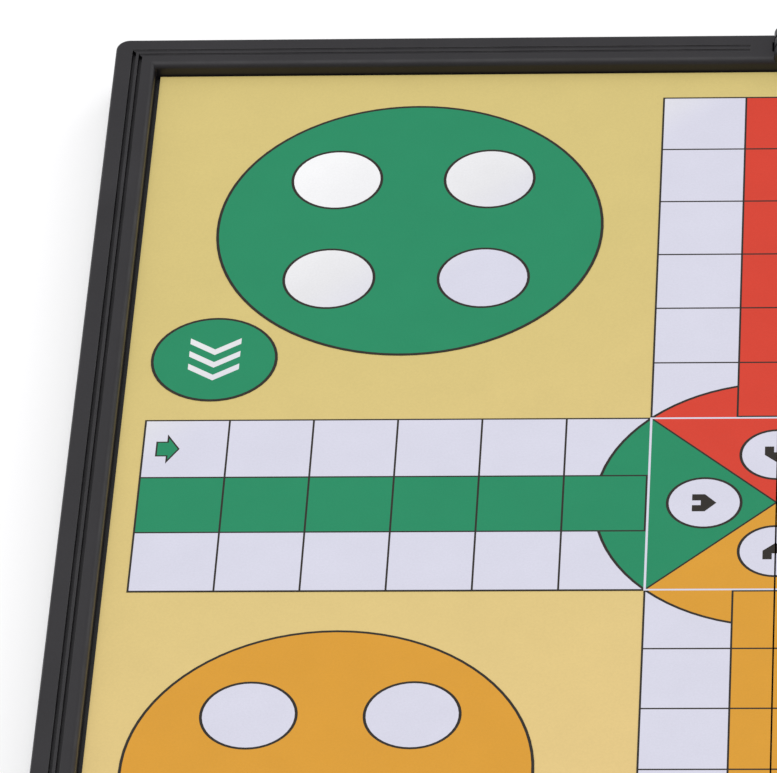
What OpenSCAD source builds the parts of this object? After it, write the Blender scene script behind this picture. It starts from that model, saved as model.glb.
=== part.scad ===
// Folding ludo board: two hinged trays that carry a printed playing surface on steel sheet.
// Millimetres. X runs across the fold, Y along it and Z up from the table.
// The origin is on the table under the middle of the board.

/* [Track] */
// Side of one track square
cell = 14.7; // [12:0.1:20]
// Width of the coloured lane along the middle of an arm
lane_w = 14.2; // [10:0.1:20]
// Strip of ground colour between the track and a side rail
side_margin = 4.3; // [3:0.1:12]
// Strip of ground colour between the track and an end rail
end_margin = 7.4; // [3:0.1:12]
// Width of the dark lines between squares
line_w = 0.35; // [0.2:0.05:0.6]
// Width of the dark outline round discs and arcs
outline_w = 0.5; // [0.2:0.05:0.8]
// Width of the white line round the home square
home_line_w = 0.4; // [0.2:0.05:0.8]

/* [Yards] */
// Gap between a yard disc and the arm beside it
yard_gap = 9.4; // [4:0.1:16]
// Distance of a yard disc from the middle of its yard, away from its arm
yard_shift = 7.7; // [0:0.1:9]
// Distance of a yard disc outward along its arm from the middle of the arm
yard_slide = 0.5; // [0:0.1:2]
// Distance between neighbouring parking dots
dot_pitch = 27.5; // [20:0.1:32]
// Radius of a parking dot
dot_r = 8.3; // [4:0.1:9]
// Radius of a start disc
start_r = 11.2; // [6:0.1:12]
// Gap between a start disc and its arm
start_gap = 5.1; // [1:0.1:8]
// Distance of a start disc's edge past the end of the track
start_out = 0.35; // [0:0.05:2]
// Width of a chevron on a start disc
chevron_w = 9; // [5:0.1:10]
// Height of a chevron's point
chevron_rise = 3; // [1:0.1:4]
// Thickness of a chevron
chevron_t = 1.5; // [0.8:0.1:2]
// Distance between neighbouring chevrons
chevron_pitch = 3.4; // [2.5:0.1:4]

/* [Track signs] */
// Length of the arrow on a start square
arrow_l = 4.2; // [3:0.1:6]
// Length of the arrow's head
arrow_head_l = 2.3; // [1:0.1:2.8]
// Width of the arrow's head
arrow_w = 7.7; // [5:0.1:9]
// Width of the arrow's shaft
arrow_shaft_w = 3.9; // [2:0.1:5]
// Width of the arrow's dark outline
arrow_line_w = 0.3; // [0.1:0.05:0.4]
// Distance of the arrow from the end of the track
arrow_inset = 2.2; // [1:0.1:5]
// Distance of a home disc from the middle of the board
home_d = 12.4; // [11:0.1:13]
// Radius of a home disc
home_r = 6.6; // [4:0.1:7]
// Width of the house sign on a home disc
house_w = 4.4; // [3:0.1:5]
// Height of the house sign's walls
house_wall_h = 2.2; // [1.5:0.1:2.5]
// Height of the house sign's roof
house_roof_h = 2; // [1:0.1:2.5]
// Width of the house sign's door
house_door_w = 1.2; // [0.6:0.1:1.6]
// Height of the house sign's door
house_door_h = 1.5; // [0.8:0.1:1.5]

/* [Frame] */
// Width of the rim
rim_w = 7.65; // [6.5:0.05:12]
// Height of the rim above the printed film
rim_h = 2.6; // [2.4:0.1:5]
// Radius of the frame's outer corners, seen from above
corner_r = 2.5; // [2.2:0.1:2.9]
// Radius of the rim's outer top edge
outer_edge_r = 0.8; // [0.3:0.1:1.5]
// Radius of the rim's inner top edge
inner_edge_r = 1.2; // [0.3:0.1:1.5]
// Thickness of the outer skirt
skirt_t = 1.8; // [1.2:0.1:2]
// Thickness of the rim's top
web_t = 2; // [1.6:0.1:2.6]
// Thickness of the inner wall
inner_wall_t = 1.8; // [1.2:0.1:2.4]
// Distance of the first of the rim's two grooves from its outer face
groove_d = 3.15; // [2.9:0.05:3.4]
// Distance between the middles of the two grooves
groove_pitch = 1.2; // [0.9:0.05:1.4]
// Width of a groove
groove_w = 0.7; // [0.3:0.05:0.7]
// Depth of a groove along a side rail
side_groove_depth = 1.1; // [0.4:0.05:1.2]
// Depth of a groove along an end rail
end_groove_depth = 0.2; // [0.1:0.05:0.8]

/* [Base] */
// Thickness of the base's floor
floor_t = 2; // [1.6:0.1:3]
// Height of the ribs under the playing surface
rib_h = 5; // [3:0.1:10]
// Thickness of the ribs
rib_t = 1.4; // [1:0.1:2]
// Largest distance between ribs
rib_pitch = 24; // [20:1:50]
// Thickness of the wall round the ribs
support_t = 2.4; // [2:0.1:3]
// Width of that wall under the frame's inner wall
seat_w = 1; // [0.6:0.1:1.6]
// Clearance between that wall and the inside of the frame
seat_clear = 0.2; // [0.1:0.05:0.4]
// Clearance between the base's floor and the frame's skirt
base_clear = 0.15; // [0.1:0.05:0.4]

/* [Playing surface] */
// Thickness of the steel sheet
steel_t = 0.5; // [0.3:0.1:1]
// Thickness of the printed film
film_t = 0.4; // [0.2:0.1:0.8]
// Thickness of the ink
ink_t = 0.1; // [0.05:0.01:0.2]
// Gap between the playing surface and the inner wall of a side rail
side_gap = 0.8; // [0.2:0.05:1]
// Gap between the playing surface and the inner wall of an end rail
end_gap = 0.35; // [0.2:0.05:1]

/* [Hinge] */
// Gap between the two trays at the fold
seam_gap = 0.3; // [0.2:0.05:0.6]
// Gap between the two rims in the closed case
close_gap = 0.2; // [0.1:0.05:0.4]
// Clear height between the hinge barrel and the printed film
barrel_lift = 0.5; // [0.4:0.05:0.9]
// Radius of a hinge pin
pin_r = 1; // [0.6:0.05:1.2]
// Running clearance round a hinge pin
pin_clear = 0.04; // [0.02:0.01:0.08]
// Distance of a pin's end from the barrel's end
pin_recess = 0.3; // [0.1:0.1:0.8]
// Gap between neighbouring hinge knuckles
knuckle_gap = 0.2; // [0.1:0.05:0.4]
// Clearance round a knuckle in the other tray
knuckle_clear = 0.3; // [0.2:0.05:0.5]
// Chamfer of a knuckle's end edges
knuckle_chamfer = 0.3; // [0.1:0.05:0.5]
// Length of the solid rail end that carries the knuckles
hinge_block_l = 6.5; // [5:0.1:12]

/* [Screws] */
// Radius of a screw's shank
screw_r = 1; // [0.8:0.05:1.3]
// Radius of a screw's head
screw_head_r = 1.85; // [1.6:0.05:2.2]
// Length of a screw
screw_l = 7.2; // [5:0.1:9]
// Depth of a screw's head below the floor's face
screw_sink = 0.15; // [0.1:0.05:0.3]
// Clearance round a screw
screw_clear = 0.05; // [0.02:0.01:0.1]
// Width of the slots in a screw's cross recess
recess_w = 0.6; // [0.4:0.05:0.8]
// Depth of the cross recess
recess_d = 0.6; // [0.3:0.05:0.8]
// Distance between the screws along a side rail
side_screw_pitch = 84; // [60:1:90]
// Distance of an end rail's inner screw from the fold
end_screw_in = 28; // [16:1:40]
// Distance of an end rail's outer screw from the frame's side
end_screw_out = 34; // [20:1:45]

/* [Hidden] */
$fn = 96;

// Colours
frame_colour = "#3c3c3e";
base_colour = "#2e2e30";
steel_colour = "#a9adb2";
film_colour = "#d8c67e";
ink_dark = "#2f2b28";
ink_white = "#dcdbea";
ink_green = "#2e9268";
ink_red = "#da483e";
ink_orange = "#dea03a";
ink_blue = "#2f6fb4";

// A traditional ludo track: four arms of three rows round a home square of three squares a side
arm_squares = 6;
arm_l = arm_squares * cell;
home_half = 1.5 * cell;
track_half = home_half + arm_l;
arc_r = home_half * sqrt(2);
lane_half = lane_w / 2;
yard_r = arm_l / 2 - yard_gap;
yard_x = -(home_half + arm_l / 2 + yard_slide);
yard_y = home_half + arm_l / 2 + yard_shift;
start_x = -(track_half + start_out - start_r);
start_y = home_half + start_gap + start_r;
arrow_y = (lane_half + home_half) / 2;

// Heights above the table
panel_z = floor_t + rib_h;
film_z = panel_z + steel_t;
film_top = film_z + film_t;
rim_top = film_top + rim_h;

// Plan of one tray, from its outer faces to the fold
surface_x = track_half + side_margin;
surface_y = track_half + end_margin;
half_x = surface_x + side_gap + rim_w;
half_y = surface_y + end_gap + rim_w;
fold_x = -seam_gap / 2;
seat_d = rim_w - seat_w;
pocket_d = seat_d - seat_clear;
boss_r = (pocket_d - skirt_t) / 2;
boss_d = skirt_t + boss_r;

// Hinge
axis_z = rim_top + close_gap / 2;
barrel_r = axis_z - film_top - barrel_lift;
knuckle_w = (rim_w - 2 * knuckle_gap) / 3;
left_knuckles = [0, 2];
right_knuckles = [1];

// Screws
screw_top = screw_sink + screw_l;
head_h = screw_head_r - screw_r;
end_screws = [-end_screw_in, -(half_x - end_screw_out)];
screw_places = concat(
    [for (i = [-1 : 1]) [boss_d - half_x, i * side_screw_pitch]],
    [for (x = end_screws, side = [-1, 1]) [x, side * (half_y - boss_d)]]
);

// A cut reaches this far past the face that it opens
over = 1;

// What a convex corner loses when it is rounded, with the corner at the origin
module corner_cut(r) {
    difference() {
        translate([-over, -over]) square(r + over);
        translate([r, r]) circle(r);
    }
}

module ring(r, w) {
    difference() {
        circle(r);
        circle(r - w);
    }
}

// The filling of a disc, out to the middle of its outline
module filling(r) {
    circle(r - outline_w / 2);
}

module four_dots() {
    for (x = [-1, 1], y = [-1, 1])
        translate([yard_x + x * dot_pitch / 2, yard_y + y * dot_pitch / 2]) children();
}

// The two outer rows of the left arm
module arm_rows() {
    for (side = [0, 1])
        mirror([0, side])
            translate([-track_half, lane_half]) square([arm_l, home_half - lane_half]);
}

// The arrow on the start square, drawn in by an inset on every side
module start_arrow(inset) {
    slope = atan2(arrow_w / 2, arrow_head_l);
    tail_x = arrow_inset - track_half;
    neck_x = tail_x + arrow_l - arrow_head_l + inset;
    tip_x = tail_x + arrow_l - inset / sin(slope);
    shaft = arrow_shaft_w / 2 - inset;
    head = (tip_x - neck_x) * tan(slope);
    translate([0, arrow_y])
        polygon([
            [tail_x + inset, -shaft], [neck_x, -shaft], [neck_x, -head],
            [tip_x, 0],
            [neck_x, head], [neck_x, shaft], [tail_x + inset, shaft]
        ]);
}

// Three chevrons on the start disc, pointing at the start square
module start_sign() {
    middle = (chevron_rise - chevron_t) / 2;
    for (i = [-1 : 1])
        translate([start_x, start_y + i * chevron_pitch + middle])
            polygon([
                [-chevron_w / 2, 0], [0, -chevron_rise], [chevron_w / 2, 0],
                [chevron_w / 2, chevron_t], [0, chevron_t - chevron_rise], [-chevron_w / 2, chevron_t]
            ]);
}

// A small house on the home disc, with its roof towards the middle of the board
module house_sign() {
    sign_h = house_wall_h + house_roof_h;
    translate([-home_d - sign_h / 2, 0])
        difference() {
            polygon([
                [0, -house_w / 2], [house_wall_h, -house_w / 2], [sign_h, 0],
                [house_wall_h, house_w / 2], [0, house_w / 2]
            ]);
            translate([-over, -house_door_w / 2]) square([over + house_door_h, house_door_w]);
        }
}

module home_outline() {
    difference() {
        square(2 * home_half + home_line_w, center = true);
        square(2 * home_half - home_line_w, center = true);
    }
}

// Dark lines of the left arm, its yard and its quarter of the home square
module unit_lines() {
    lane_end = -home_half - home_line_w / 2;
    difference() {
        union() {
            for (i = [0 : arm_squares - 1])
                translate([i * cell - track_half - line_w / 2, -home_half - line_w / 2])
                    square([line_w, 2 * home_half + line_w]);
            for (side = [-1, 1]) {
                translate([-track_half, side * home_half - line_w / 2]) square([arm_l, line_w]);
                translate([-track_half, side * lane_half - line_w / 2]) square([arm_l, line_w]);
                rotate(180 + side * 45) translate([0, -line_w / 2]) square([arc_r, line_w]);
            }
            translate([lane_end - line_w, -lane_half]) square([line_w, lane_w]);
            intersection() {
                ring(arc_r + outline_w / 2, outline_w);
                arm_rows();
            }
            translate([yard_x, yard_y]) ring(yard_r, outline_w);
            four_dots() ring(dot_r, outline_w);
            translate([start_x, start_y]) ring(start_r, outline_w);
            translate([-home_d, 0]) ring(home_r, outline_w);
            difference() {
                start_arrow(0);
                start_arrow(arrow_line_w);
            }
            house_sign();
        }
        home_outline();
    }
}

// White squares, dots and signs of the left arm
module unit_white() {
    difference() {
        union() {
            difference() {
                arm_rows();
                circle(arc_r);
                start_arrow(arrow_line_w / 2);
            }
            four_dots() filling(dot_r);
            translate([-home_d, 0]) filling(home_r);
            start_sign();
        }
        unit_lines();
        home_outline();
    }
}

// The left arm's own colour: lane, arc, home triangle, yard, start disc and arrow
module unit_colour() {
    difference() {
        union() {
            translate([-track_half, -lane_half]) square([arm_l, lane_w]);
            intersection() {
                circle(arc_r);
                arm_rows();
            }
            difference() {
                polygon([[-home_half, -home_half], [0, 0], [-home_half, home_half]]);
                translate([-home_d, 0]) filling(home_r);
            }
            difference() {
                translate([yard_x, yard_y]) filling(yard_r);
                four_dots() filling(dot_r);
            }
            difference() {
                translate([start_x, start_y]) filling(start_r);
                start_sign();
            }
            start_arrow(arrow_line_w / 2);
        }
        unit_lines();
        home_outline();
    }
}

// Turns a shape that is drawn for the left arm clockwise to other arms
module turned(turns) {
    for (turn = turns) rotate(-90 * turn) children();
}

// Ink on the left tray, cut off at the fold
module ink() {
    translate([0, 0, film_top])
        linear_extrude(ink_t)
            intersection() {
                translate([-half_x, -half_y]) square([half_x + fold_x, 2 * half_y]);
                union() children();
            }
}

module colour_ink(turn) {
    ink() turned([turn]) unit_colour();
}

module white_ink() {
    color(ink_white)
        ink() {
            turned([-1 : 1]) unit_white();
            home_outline();
        }
}

module line_ink() {
    color(ink_dark) ink() turned([-1 : 1]) unit_lines();
}

// A sheet that covers the playing surface
module sheet(z, t) {
    translate([-surface_x, -surface_y, z]) cube([surface_x + fold_x, 2 * surface_y, t]);
}

// Section of a rail: across it from its outer face, and up from the table
module rail_section(groove_depth) {
    difference() {
        union() {
            square([skirt_t, rim_top]);
            translate([0, rim_top - web_t]) square([rim_w, web_t]);
            translate([rim_w - inner_wall_t, panel_z]) square([inner_wall_t, rim_top - panel_z]);
        }
        rim_edge_cuts();
        for (i = [0, 1])
            translate([groove_d + i * groove_pitch, rim_top - groove_depth])
                square([groove_w, groove_depth + over]);
    }
}

module rim_edge_cuts() {
    translate([0, rim_top]) mirror([0, 1]) corner_cut(outer_edge_r);
    translate([rim_w, rim_top]) rotate(180) corner_cut(inner_edge_r);
}

// Section of the solid rail end that carries the hinge
module block_section() {
    difference() {
        union() {
            square([skirt_t, rim_top]);
            translate([0, floor_t]) square([pocket_d, rim_top - floor_t]);
            translate([0, panel_z]) square([rim_w, rim_top - panel_z]);
        }
        rim_edge_cuts();
    }
}

module side_rail() {
    intersection() {
        translate([-half_x, half_y, 0])
            rotate([90, 0, 0]) linear_extrude(2 * half_y) rail_section(side_groove_depth);
        linear_extrude(rim_top + over)
            polygon([
                [-half_x, -half_y], [rim_w - half_x, rim_w - half_y],
                [rim_w - half_x, half_y - rim_w], [-half_x, half_y]
            ]);
    }
}

// A length of the back rail, from x = start towards the side rail
module end_run(start, l) {
    translate([start, half_y, 0])
        rotate([90, 0, -90]) linear_extrude(l) children();
}

module end_rail() {
    intersection() {
        end_run(-hinge_block_l, half_x - hinge_block_l) rail_section(end_groove_depth);
        linear_extrude(rim_top + over)
            polygon([
                [-half_x, half_y], [0, half_y], [0, half_y - rim_w], [rim_w - half_x, half_y - rim_w]
            ]);
    }
}

// The rounded outer corner: the rail's section inside the corner radius, turned a quarter
module corner_turn() {
    translate([corner_r - half_x, half_y - corner_r, 0])
        rotate(90) rotate_extrude(angle = 90)
            intersection() {
                translate([corner_r, 0]) mirror([1, 0]) rail_section(end_groove_depth);
                square([corner_r, rim_top + over]);
            }
}

module along_hinge(y, l, r) {
    translate([0, y + l, axis_z]) rotate([90, 0, 0]) cylinder(r = r, h = l);
}

function knuckle_y(i) = half_y - rim_w + i * (knuckle_w + knuckle_gap);

// One knuckle of the hinge barrel, with chamfered ends
module knuckle(i) {
    c = knuckle_chamfer;
    translate([0, knuckle_y(i), axis_z])
        rotate([-90, 0, 0]) {
            cylinder(r1 = barrel_r - c, r2 = barrel_r, h = c);
            translate([0, 0, c]) cylinder(r = barrel_r, h = knuckle_w - 2 * c);
            translate([0, 0, knuckle_w - c]) cylinder(r1 = barrel_r, r2 = barrel_r - c, h = c);
        }
}

// The back rail's end at the fold, with its own knuckles and room for the other tray's
module hinge_end(own) {
    others = [for (i = [0 : 2]) if (len(search(i, own)) == 0) i];
    room_w = knuckle_w + 2 * knuckle_gap;
    difference() {
        union() {
            difference() {
                end_run(fold_x, hinge_block_l + fold_x) block_section();
                for (i = others)
                    along_hinge(knuckle_y(i) - knuckle_gap, room_w, barrel_r + knuckle_clear);
            }
            for (i = own) knuckle(i);
        }
        along_hinge(half_y - rim_w - over, rim_w + 2 * over, pin_r + pin_clear);
    }
}

module frame(own) {
    difference() {
        union() {
            difference() {
                union() {
                    side_rail();
                    for (end = [0, 1]) mirror([0, end, 0]) end_rail();
                }
                for (end = [0, 1])
                    mirror([0, end, 0])
                        translate([-half_x - over, half_y - corner_r, -over])
                            cube([corner_r + over, corner_r + over, rim_top + 2 * over]);
            }
            for (end = [0, 1])
                mirror([0, end, 0]) {
                    corner_turn();
                    hinge_end(own);
                }
            for (place = screw_places)
                translate([place.x, place.y, floor_t])
                    cylinder(r = boss_r, h = rim_top - web_t - floor_t);
        }
        for (place = screw_places)
            translate([place.x, place.y, floor_t - over])
                cylinder(r = screw_r + screw_clear, h = screw_top + screw_clear - floor_t + over);
    }
}

module screw_body(grow) {
    cone_top = screw_sink + head_h;
    translate([0, 0, screw_sink]) cylinder(r1 = screw_head_r + grow, r2 = screw_r + grow, h = head_h);
    translate([0, 0, cone_top]) cylinder(r = screw_r + grow, h = screw_top - cone_top);
}

module base_floor() {
    inset = skirt_t + base_clear;
    round_r = corner_r - inset;
    difference() {
        linear_extrude(floor_t)
            difference() {
                translate([inset - half_x, inset - half_y])
                    square([half_x - inset + fold_x, 2 * (half_y - inset)]);
                for (end = [0, 1])
                    mirror([0, end]) translate([inset - half_x, inset - half_y]) corner_cut(round_r);
            }
        for (place = screw_places)
            translate([place.x, place.y, 0]) {
                screw_body(screw_clear);
                translate([0, 0, -over]) cylinder(r = screw_head_r + screw_clear, h = over + screw_sink);
            }
    }
}

// Walls and ribs that carry the playing surface
module base_ribs() {
    reach_x = half_x - seat_d;
    reach_y = half_y - seat_d;
    span_x = reach_x + fold_x;
    columns = ceil(span_x / rib_pitch);
    rows = ceil(2 * reach_y / rib_pitch);
    translate([-reach_x, -reach_y, floor_t]) {
        linear_extrude(rib_h)
            difference() {
                square([span_x, 2 * reach_y]);
                translate([support_t, support_t])
                    square([span_x - 2 * support_t, 2 * (reach_y - support_t)]);
            }
        for (i = [1 : columns - 1])
            translate([i * span_x / columns - rib_t / 2, 0, 0]) cube([rib_t, 2 * reach_y, rib_h]);
        for (i = [1 : rows - 1])
            translate([0, i * 2 * reach_y / rows - rib_t / 2, 0]) cube([span_x, rib_t, rib_h]);
    }
}

module base() {
    color(base_colour) {
        base_floor();
        base_ribs();
    }
}

module base_screws() {
    color(steel_colour)
        for (place = screw_places)
            translate([place.x, place.y, 0])
                difference() {
                    screw_body(0);
                    for (turn = [0, 90])
                        translate([0, 0, screw_sink])
                            rotate(turn)
                                cube([screw_head_r + screw_r, recess_w, 2 * recess_d], center = true);
                }
}

module hinge_pin() {
    color(steel_colour)
        along_hinge(half_y - rim_w + pin_recess, rim_w - 2 * pin_recess, pin_r);
}

module to_right() {
    rotate(180) children();
}

module left_frame() {
    color(frame_colour) frame(left_knuckles);
}

module left_base() {
    base();
}

module left_base_screws() {
    base_screws();
}

module left_steel_sheet() {
    color(steel_colour) sheet(panel_z, steel_t);
}

module left_print_sheet() {
    color(film_colour) sheet(film_z, film_t);
}

module left_print_lines() {
    line_ink();
}

module left_print_white() {
    white_ink();
}

module left_print_green() {
    color(ink_green) colour_ink(0);
}

module left_print_red() {
    color(ink_red) colour_ink(1);
}

module left_print_orange() {
    color(ink_orange) colour_ink(-1);
}

module right_frame() {
    to_right() color(frame_colour) frame(right_knuckles);
}

module right_base() {
    to_right() base();
}

module right_base_screws() {
    to_right() base_screws();
}

module right_steel_sheet() {
    to_right() color(steel_colour) sheet(panel_z, steel_t);
}

module right_print_sheet() {
    to_right() color(film_colour) sheet(film_z, film_t);
}

module right_print_lines() {
    to_right() line_ink();
}

module right_print_white() {
    to_right() white_ink();
}

module right_print_blue() {
    to_right() color(ink_blue) colour_ink(0);
}

module right_print_orange() {
    to_right() color(ink_orange) colour_ink(1);
}

module right_print_red() {
    to_right() color(ink_red) colour_ink(-1);
}

module front_hinge_pin() {
    mirror([0, 1, 0]) hinge_pin();
}

module back_hinge_pin() {
    hinge_pin();
}

left_frame();
left_base();
left_base_screws();
left_steel_sheet();
left_print_sheet();
left_print_lines();
left_print_white();
left_print_green();
left_print_red();
left_print_orange();
right_frame();
right_base();
right_base_screws();
right_steel_sheet();
right_print_sheet();
right_print_lines();
right_print_white();
right_print_blue();
right_print_orange();
right_print_red();
front_hinge_pin();
back_hinge_pin();
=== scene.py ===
import math

import bpy
from mathutils import Euler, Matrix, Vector

# Looks of the folding ludo board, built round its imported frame. Metres, Z up, table at Z 0.
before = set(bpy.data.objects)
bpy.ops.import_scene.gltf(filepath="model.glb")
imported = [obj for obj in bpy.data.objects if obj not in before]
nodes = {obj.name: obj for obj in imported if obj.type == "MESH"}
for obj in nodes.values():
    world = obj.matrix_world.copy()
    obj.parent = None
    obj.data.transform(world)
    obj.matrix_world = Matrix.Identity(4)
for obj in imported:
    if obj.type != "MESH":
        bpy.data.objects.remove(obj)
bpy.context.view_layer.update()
scene = bpy.context.scene

MM = 0.001

# Camera that takes the photograph's view
CAMERA_PLACE = (0.0345, -1.0538, 0.9524)
CAMERA_TURN_DEG = (49.016, 2.907, 2.891)
CAMERA_LENS_MM = 381.81
CAMERA_SENSOR_MM = 36.0

# Light
KEY_PLACE = (-0.7, 0.2, 2.8)
KEY_SIZE = 3.2
KEY_WATTS = 58.0
FILL_PLACE = (1.5, 2.1, 1.1)
FILL_SIZE = 1.4
FILL_WATTS = 9.0
SKY = (0.56, 0.56, 0.57)

# Floor
FLOOR_HALF = 12.0
FLOOR_DROP = 0.2 * MM
FLOOR_CLOUD = 200 * MM
FLOOR_CLOUD_SHADE = 0.985
FLOOR_ROUGHNESS = 0.9
FLOOR_SPECULAR = 0.1

# Colours, linear
FLOOR_COLOUR = (0.97, 0.97, 0.97)
FRAME_DARK = (0.0112, 0.0101, 0.0125)
FRAME_LIGHT = (0.0154, 0.0140, 0.0169)
# Lighter colour painted on the frame's edges, part rubbing wear and part painted highlight
FRAME_EDGE_WEAR_AND_HIGHLIGHT = (0.075, 0.072, 0.072)
BASE_DARK = (0.0200, 0.0200, 0.0220)
BASE_LIGHT = (0.0245, 0.0245, 0.0265)
# Lighter colour painted on the base's edges, part rubbing wear and part painted highlight
BASE_EDGE_WEAR_AND_HIGHLIGHT = (0.055, 0.055, 0.056)
YELLOW_BACK = (0.615, 0.495, 0.180)
YELLOW_FRONT = (0.725, 0.528, 0.219)
TINTED_WHITE = (0.622, 0.618, 0.718)
GREY_WHITE = (0.645, 0.641, 0.665)
BARE_WHITE = (0.845, 0.845, 0.85)
GREEN = (0.0120, 0.233, 0.1065)
RED = (0.608, 0.0445, 0.0228)
ORANGE = (0.643, 0.303, 0.0280)
BLUE = (0.020, 0.134, 0.390)
DARK = (0.022, 0.018, 0.014)
STEEL = (0.60, 0.61, 0.63)

# Noise textures: the range that nearly all their values lie in, and layers of finer detail
NOISE_RANGE = (0.3, 0.7)
SMOOTH = 1.0
GRAINY = 2.0
CLOUDY = 3.0
BROKEN = 4.0

# Edges: faces that meet at less than SMOOTH_DEG are shaded as one smooth surface
SMOOTH_DEG = 32.0
EDGE_SAMPLES = 6
EDGE_RADIUS = 0.25 * MM
SCREW_EDGE_RADIUS = 0.12 * MM

# Cosines from a flat to an edge, by the turn of the softened normal, and from a level face to a wall
FLAT_TO_EDGE = (0.995, 0.80)
LEVEL_TO_WALL = (0.7, 0.2)

# Moulded plastic
PLASTIC_CLOUD = 18 * MM
PLASTIC_GLOSS_PATCH = 6 * MM
PLASTIC_ROUGHNESS = (0.46, 0.56)
LEVEL_AND_WALL_SHARE = (1.0, 0.65)
PLASTIC_SPECULAR = 0.36
# Patches of lighter colour painted on edges, part rubbing wear and part painted highlight
RUB_AND_HIGHLIGHT_PATCH = 7 * MM
RUB_AND_HIGHLIGHT_NOISE_RANGE = (0.35, 0.65)
RUB_AND_HIGHLIGHT_SHARE = (0.1, 0.6)
FRAME_GRAIN = 0.4 * MM
FRAME_GRAIN_DEPTH = 0.02 * MM
BASE_GRAIN = 0.8 * MM
BASE_GRAIN_DEPTH = 0.06 * MM
GRAIN_SHADE = (0.9, 1.1)
GRAIN_BUMP = 0.5

# Printed film
INK_CLOUD = 30 * MM
INK_CLOUD_SHADE = (0.97, 1.03)
MOTTLE = 9 * MM
MOTTLE_SHADE = (0.985, 1.015)
PRINT_GRAIN = 0.35 * MM
PRINT_GRAIN_SHADE = (0.98, 1.02)
FILM_GLOSS_PATCH = 4 * MM
FILM_ROUGHNESS = (0.36, 0.46)
FILM_SPECULAR = 0.2
PEEL = 1.6 * MM
PEEL_DEPTH = 0.01 * MM
PEEL_BUMP = 0.15

# Ways across the board in which the white and the yellow change, and from where to where
WHITE_WAY = (-1, 1, 0)
TINT_TO_GREY = (86 * MM, 99 * MM)
TINT_TO_BARE = (84 * MM, 124 * MM)
YELLOW_WAY = (0.4, -1, 0)
BACK_TO_FRONT = (-80 * MM, 80 * MM)

# Metal
STREAK = 1 * MM
STREAK_SHADE = 0.8
STREAK_ROUGHENING = 0.15
SHEET_STRETCH = (0.05, 1, 1)
SHEET_ROUGHNESS = 0.28
PIN_STRETCH = (1, 0.05, 1)
PIN_ROUGHNESS = 0.2
SPANGLE = 0.9 * MM
SPANGLE_RANGE = (0.1, 0.6)
SPANGLE_SHADE = 0.7
ZINC_GLOSS_PATCH = 0.5 * MM
ZINC_ROUGHNESS = (0.25, 0.42)
ZINC_GRAIN = 0.2 * MM
METAL_GRAIN_DEPTH = 0.01 * MM
METAL_BUMP = 0.2


def shade(colour, factor):
    return tuple(channel * factor for channel in colour)


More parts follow.
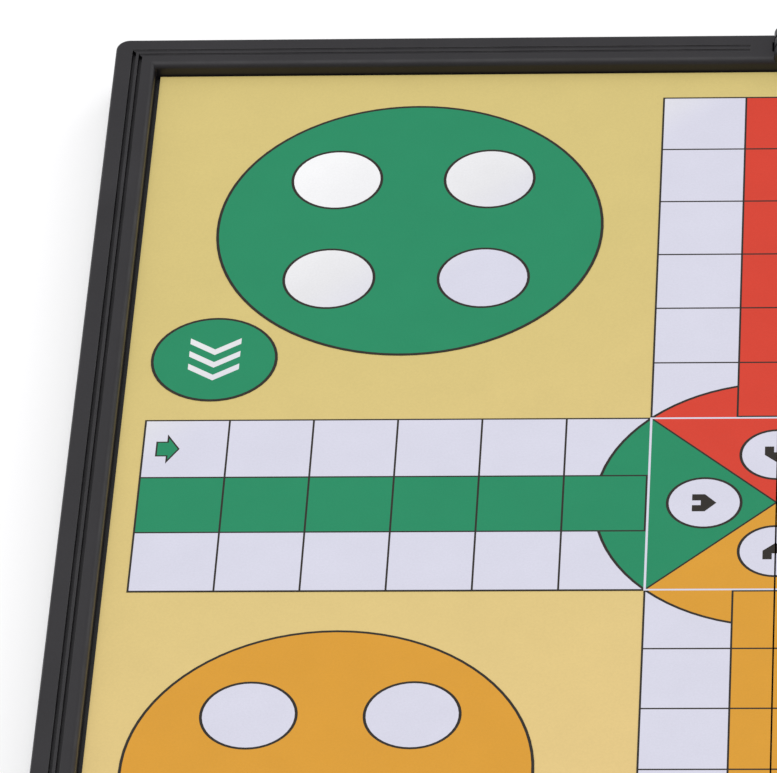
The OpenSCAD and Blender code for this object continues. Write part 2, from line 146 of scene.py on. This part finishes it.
class Shader:
    """A material with a Principled shader, and short ways to add and join its nodes."""

    def __init__(self, name):
        self.material = bpy.data.materials.new(name)
        self.material.use_nodes = True
        self.tree = self.material.node_tree
        self.bsdf = self.tree.nodes["Principled BSDF"]
        coordinates = self.add("ShaderNodeTexCoord")
        self.place = coordinates.outputs["Object"]
        self.facing = coordinates.outputs["Normal"]

    def add(self, kind, **settings):
        node = self.tree.nodes.new(kind)
        for key, value in settings.items():
            setattr(node, key, value)
        return node

    def join(self, source, target):
        self.tree.links.new(source, target)

    def feed(self, **sources):
        """Joins node outputs to the shader's own sockets."""
        for key, source in sources.items():
            self.join(source, self.bsdf.inputs[key.replace("_", " ")])

    def set(self, **values):
        """Sets the shader's own sockets that are the same all over the surface."""
        for key, value in values.items():
            self.bsdf.inputs[key.replace("_", " ")].default_value = value

    def stretched(self, scale):
        """The surface place, stretched by a factor along each axis."""
        node = self.add("ShaderNodeMapping")
        node.inputs["Scale"].default_value = scale
        self.join(self.place, node.inputs["Vector"])
        return node.outputs["Vector"]

    def noise(self, size, detail=CLOUDY, place=None):
        """Noise whose features are about this size."""
        node = self.add("ShaderNodeTexNoise")
        node.inputs["Scale"].default_value = 1.0 / size
        node.inputs["Detail"].default_value = detail
        self.join(place or self.place, node.inputs["Vector"])
        return node.outputs["Fac"]

    def cells(self, size):
        """Distance from the middle of cells of about this size."""
        node = self.add("ShaderNodeTexVoronoi", feature="SMOOTH_F1")
        node.inputs["Scale"].default_value = 1.0 / size
        self.join(self.place, node.inputs["Vector"])
        return node.outputs["Distance"]

    def ramp(self, source, given, wanted=(0.0, 1.0)):
        """source taken from the range given to the range wanted, and held at both ends."""
        node = self.add("ShaderNodeMapRange")
        node.inputs["From Min"].default_value = given[0]
        node.inputs["From Max"].default_value = given[1]
        node.inputs["To Min"].default_value = wanted[0]
        node.inputs["To Max"].default_value = wanted[1]
        self.join(source, node.inputs["Value"])
        return node.outputs["Result"]

    def spread(self, noise, wanted=(0.0, 1.0)):
        """A noise taken from its usual range to the range wanted."""
        return self.ramp(noise, NOISE_RANGE, wanted)

    def times(self, first, second):
        node = self.add("ShaderNodeMath", operation="MULTIPLY")
        self.join(first, node.inputs[0])
        self.join(second, node.inputs[1])
        return node.outputs["Value"]

    def along(self, direction, source=None):
        """How far the surface place, or another vector, reaches in a direction."""
        node = self.add("ShaderNodeVectorMath", operation="DOT_PRODUCT")
        node.inputs[1].default_value = Vector(direction).normalized()
        self.join(source or self.place, node.inputs[0])
        return node.outputs["Value"]

    def upright(self):
        """1 on upright walls and 0 on level faces."""
        level = self.add("ShaderNodeMath", operation="ABSOLUTE")
        self.join(self.along((0, 0, 1), self.facing), level.inputs[0])
        return self.ramp(level.outputs["Value"], LEVEL_TO_WALL)

    def mix(self, share, first, second):
        """first where share is 0 and second where it is 1, each a colour or a node output."""
        node = self.add("ShaderNodeMix", data_type="RGBA")
        self.join(share, node.inputs["Factor"])
        for socket, colour in (("A", first), ("B", second)):
            target = next(s for s in node.inputs if s.name == socket and s.type == "RGBA")
            if isinstance(colour, bpy.types.NodeSocket):
                self.join(colour, target)
            else:
                target.default_value = (*colour, 1.0)
        return next(s for s in node.outputs if s.type == "RGBA")

    def dimmed(self, colour, factor):
        """colour times a factor that varies over the surface."""
        node = self.add("ShaderNodeVectorMath", operation="SCALE")
        self.join(colour, node.inputs[0])
        self.join(factor, node.inputs["Scale"])
        return node.outputs["Vector"]

    def soft_normal(self, radius):
        """The surface normal, turned smoothly round every edge within a radius."""
        node = self.add("ShaderNodeBevel", samples=EDGE_SAMPLES)
        node.inputs["Radius"].default_value = radius
        return node.outputs["Normal"]

    def edges(self, soft):
        """1 at an edge of the moulding and 0 on its flats."""
        node = self.add("ShaderNodeVectorMath", operation="DOT_PRODUCT")
        self.join(soft, node.inputs[0])
        self.join(self.add("ShaderNodeNewGeometry").outputs["Normal"], node.inputs[1])
        return self.ramp(node.outputs["Value"], FLAT_TO_EDGE)

    def bump(self, height, depth, strength, under=None):
        """A normal that follows a height of this depth, over another normal where one is given."""
        node = self.add("ShaderNodeBump")
        node.inputs["Strength"].default_value = strength
        node.inputs["Distance"].default_value = depth
        self.join(height, node.inputs["Height"])
        if under is not None:
            self.join(under, node.inputs["Normal"])
        return node.outputs["Normal"]


def moulded_plastic(name, dark, light, edge, grain_size, grain_depth):
    """Matte black plastic with its mould's eroded grain, smoother on walls, and edges painted lighter: part
    rubbing wear, part highlight.
    """
    s = Shader(name)
    level_roughness = s.spread(s.noise(PLASTIC_GLOSS_PATCH), PLASTIC_ROUGHNESS)
    soft = s.soft_normal(EDGE_RADIUS)
    cloud = s.mix(s.spread(s.noise(PLASTIC_CLOUD, BROKEN)), dark, light)
    # Edges painted lighter in patches: partly rubbing wear, partly a painted highlight
    rub_and_highlight = s.times(s.edges(soft), s.ramp(s.noise(RUB_AND_HIGHLIGHT_PATCH, BROKEN), RUB_AND_HIGHLIGHT_NOISE_RANGE, RUB_AND_HIGHLIGHT_SHARE))
    grain = s.noise(grain_size, GRAINY)
    s.feed(
        Base_Color=s.dimmed(s.mix(rub_and_highlight, cloud, edge), s.spread(grain, GRAIN_SHADE)),
        Roughness=s.times(level_roughness, s.ramp(s.upright(), (0.0, 1.0), LEVEL_AND_WALL_SHARE)),
        Normal=s.bump(grain, grain_depth, GRAIN_BUMP, under=soft),
    )
    s.set(Specular_IOR_Level=PLASTIC_SPECULAR)
    return s.material


def film_finish(s, colour):
    """Satin film over a printed colour: faint ink mottle, fine print grain and a little orange peel."""
    mottled = s.dimmed(colour, s.spread(s.noise(MOTTLE), MOTTLE_SHADE))
    s.feed(
        Base_Color=s.dimmed(mottled, s.spread(s.noise(PRINT_GRAIN, SMOOTH), PRINT_GRAIN_SHADE)),
        Roughness=s.spread(s.noise(FILM_GLOSS_PATCH), FILM_ROUGHNESS),
        Normal=s.bump(s.noise(PEEL, SMOOTH), PEEL_DEPTH, PEEL_BUMP),
    )
    s.set(Specular_IOR_Level=FILM_SPECULAR)
    return s.material


def ink(name, colour):
    """One printed colour, a little uneven over the sheet."""
    s = Shader(name)
    dark, light = (shade(colour, factor) for factor in INK_CLOUD_SHADE)
    return film_finish(s, s.mix(s.noise(INK_CLOUD), dark, light))


def white_ink():
    """Lavender tint that turns grey, then thins out to bare white film towards the back left corner."""
    s = Shader("white_ink")
    corner = s.along(WHITE_WAY)
    tint = s.mix(s.ramp(corner, TINT_TO_GREY), TINTED_WHITE, GREY_WHITE)
    return film_finish(s, s.mix(s.ramp(corner, TINT_TO_BARE), tint, BARE_WHITE))


def yellow_film():
    """Yellow ground, a little lighter towards the front."""
    s = Shader("yellow_film")
    front = s.ramp(s.along(YELLOW_WAY), BACK_TO_FRONT)
    return film_finish(s, s.mix(front, YELLOW_BACK, YELLOW_FRONT))


def drawn_steel(name, stretch, roughness):
    """Bright steel with the fine streaks of rolling or drawing."""
    s = Shader(name)
    streaks = s.noise(STREAK, place=s.stretched(stretch))
    s.feed(
        Base_Color=s.mix(streaks, shade(STEEL, STREAK_SHADE), STEEL),
        Roughness=s.spread(streaks, (roughness, roughness + STREAK_ROUGHENING)),
        Normal=s.bump(streaks, METAL_GRAIN_DEPTH, METAL_BUMP),
    )
    s.set(Metallic=1.0)
    return s.material


def zinc_plate():
    """Zinc plated screw steel with a faint spangle."""
    s = Shader("zinc_plate")
    soft = s.soft_normal(SCREW_EDGE_RADIUS)
    s.feed(
        Base_Color=s.mix(s.ramp(s.cells(SPANGLE), SPANGLE_RANGE), STEEL, shade(STEEL, SPANGLE_SHADE)),
        Roughness=s.spread(s.noise(ZINC_GLOSS_PATCH), ZINC_ROUGHNESS),
        Normal=s.bump(s.noise(ZINC_GRAIN), METAL_GRAIN_DEPTH, METAL_BUMP, under=soft),
    )
    s.set(Metallic=1.0)
    return s.material


def both(name):
    """The nodes of this name in the left and the right tray."""
    return f"left_{name}", f"right_{name}"


def dress(material, *names):
    """Gives nodes a material, with smooth shading on their round faces."""
    for name in names:
        mesh = nodes[name].data
        mesh.materials.clear()
        mesh.materials.append(material)
        mesh.shade_smooth()
        mesh.set_sharp_from_angle(angle=math.radians(SMOOTH_DEG))


def dress_mouldings():
    frame_plastic = moulded_plastic(
        "frame_plastic", FRAME_DARK, FRAME_LIGHT, FRAME_EDGE_WEAR_AND_HIGHLIGHT, FRAME_GRAIN, FRAME_GRAIN_DEPTH
    )
    base_plastic = moulded_plastic(
        "base_plastic", BASE_DARK, BASE_LIGHT, BASE_EDGE_WEAR_AND_HIGHLIGHT, BASE_GRAIN, BASE_GRAIN_DEPTH
    )
    dress(frame_plastic, *both("frame"))
    dress(base_plastic, *both("base"))


def dress_metal():
    dress(zinc_plate(), *both("base_screws"))
    dress(drawn_steel("sheet_steel", SHEET_STRETCH, SHEET_ROUGHNESS), *both("steel_sheet"))
    dress(drawn_steel("pin_steel", PIN_STRETCH, PIN_ROUGHNESS), "front_hinge_pin", "back_hinge_pin")


def dress_print():
    dress(yellow_film(), *both("print_sheet"))
    dress(white_ink(), *both("print_white"))
    dress(ink("dark_ink", DARK), *both("print_lines"))
    dress(ink("red_ink", RED), *both("print_red"))
    dress(ink("orange_ink", ORANGE), *both("print_orange"))
    dress(ink("green_ink", GREEN), "left_print_green")
    dress(ink("blue_ink", BLUE), "right_print_blue")


def soft_light(name, place, size, watts):
    """A round lamp that faces the board."""
    data = bpy.data.lights.new(name, "AREA")
    data.shape = "DISK"
    data.size = size
    data.energy = watts
    light = bpy.data.objects.new(name, data)
    light.location = place
    light.rotation_euler = (-Vector(place)).to_track_quat("-Z", "Y").to_euler()
    light.visible_camera = False
    scene.collection.objects.link(light)


def studio():
    soft_light("key_light", KEY_PLACE, KEY_SIZE, KEY_WATTS)
    soft_light("fill_light", FILL_PLACE, FILL_SIZE, FILL_WATTS)
    world = bpy.data.worlds.new("studio")
    world.use_nodes = True
    world.node_tree.nodes["Background"].inputs["Color"].default_value = (*SKY, 1.0)
    scene.world = world
    scene.view_settings.view_transform = "Standard"
    scene.view_settings.look = "None"


def floor():
    half = FLOOR_HALF
    corners = [(-half, -half, 0), (half, -half, 0), (half, half, 0), (-half, half, 0)]
    mesh = bpy.data.meshes.new("floor")
    mesh.from_pydata(corners, [], [(0, 1, 2, 3)])
    sheet = bpy.data.objects.new("floor", mesh)
    sheet.location.z = -FLOOR_DROP
    scene.collection.objects.link(sheet)
    s = Shader("floor_paper")
    s.feed(Base_Color=s.mix(s.noise(FLOOR_CLOUD), shade(FLOOR_COLOUR, FLOOR_CLOUD_SHADE), FLOOR_COLOUR))
    s.set(Roughness=FLOOR_ROUGHNESS, Specular_IOR_Level=FLOOR_SPECULAR)
    mesh.materials.append(s.material)


def camera():
    data = bpy.data.cameras.new("camera")
    data.lens = CAMERA_LENS_MM
    data.sensor_width = CAMERA_SENSOR_MM
    eye = bpy.data.objects.new("camera", data)
    eye.location = CAMERA_PLACE
    eye.rotation_euler = Euler([math.radians(angle) for angle in CAMERA_TURN_DEG], "XYZ")
    scene.collection.objects.link(eye)
    scene.camera = eye


dress_mouldings()
dress_metal()
dress_print()
studio()
floor()
camera()
